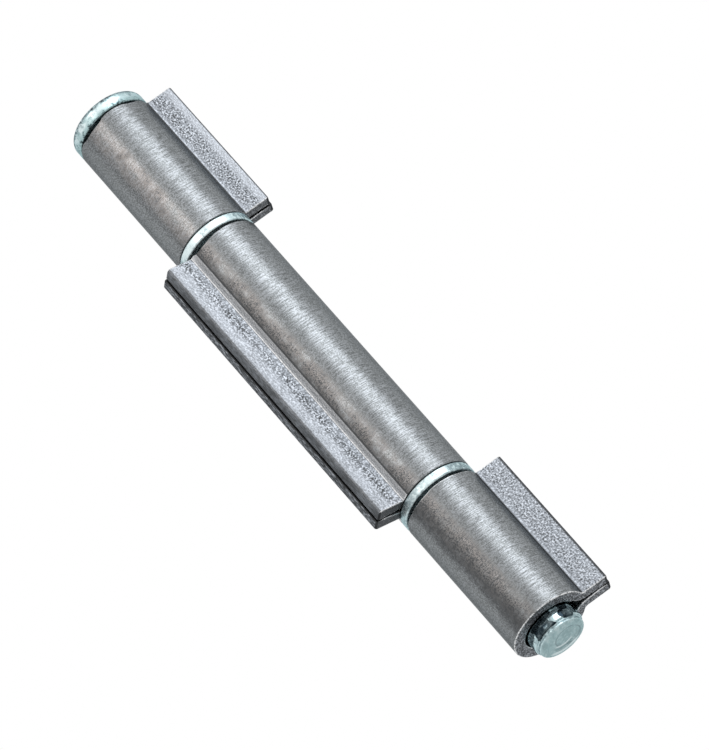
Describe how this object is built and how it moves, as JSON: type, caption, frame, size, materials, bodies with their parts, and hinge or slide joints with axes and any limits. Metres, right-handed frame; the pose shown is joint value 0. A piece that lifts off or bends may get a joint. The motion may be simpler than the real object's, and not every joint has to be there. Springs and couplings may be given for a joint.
{
  "type": "weld-on hinge",
  "caption": "Rolled sheet weld-on hinge: a long middle leaf turns between short outer leaves on a headed loose pin, with a washer at each joint.",
  "frame": {"origin": "on the pin's axis, halfway up the whole hinge", "axes": "+Z along the pin towards its head, +X out along the wings of the two outer leaves, -Y the side that the picture is taken from"},
  "size_m": [0.0325, 0.02, 0.18],
  "materials": {
    "bare_steel": "rolled mill finish, finely scratched around the barrel",
    "zinc_plate": "bright zinc plate"
  },
  "bodies": {
    "upper_leaf": {"upper_leaf": "bare_steel"},
    "middle_leaf": {"middle_leaf": "bare_steel"},
    "lower_leaf": {"lower_leaf": "bare_steel"},
    "pin": {"pin": "zinc_plate"},
    "upper_washer": {"upper_washer": "zinc_plate"},
    "lower_washer": {"lower_washer": "zinc_plate"}
  },
  "joints": [
    {"name": "middle_leaf_turn", "type": "hinge", "parent": "upper_leaf", "child": "middle_leaf", "pos_m": [0, 0, 0], "axis": [0, 0, 1], "continuous": true},
    {"name": "lower_leaf_turn", "type": "hinge", "parent": "upper_leaf", "child": "lower_leaf", "pos_m": [0, 0, 0], "axis": [0, 0, 1], "continuous": true},
    {"name": "upper_washer_turn", "type": "hinge", "parent": "upper_leaf", "child": "upper_washer", "pos_m": [0, 0, 0], "axis": [0, 0, 1], "continuous": true},
    {"name": "lower_washer_turn", "type": "hinge", "parent": "upper_leaf", "child": "lower_washer", "pos_m": [0, 0, 0], "axis": [0, 0, 1], "continuous": true},
    {"name": "pin_lift", "type": "slide", "parent": "upper_leaf", "child": "pin", "axis": [0, 0, 1], "range_m": [0, 0.18]}
  ]
}
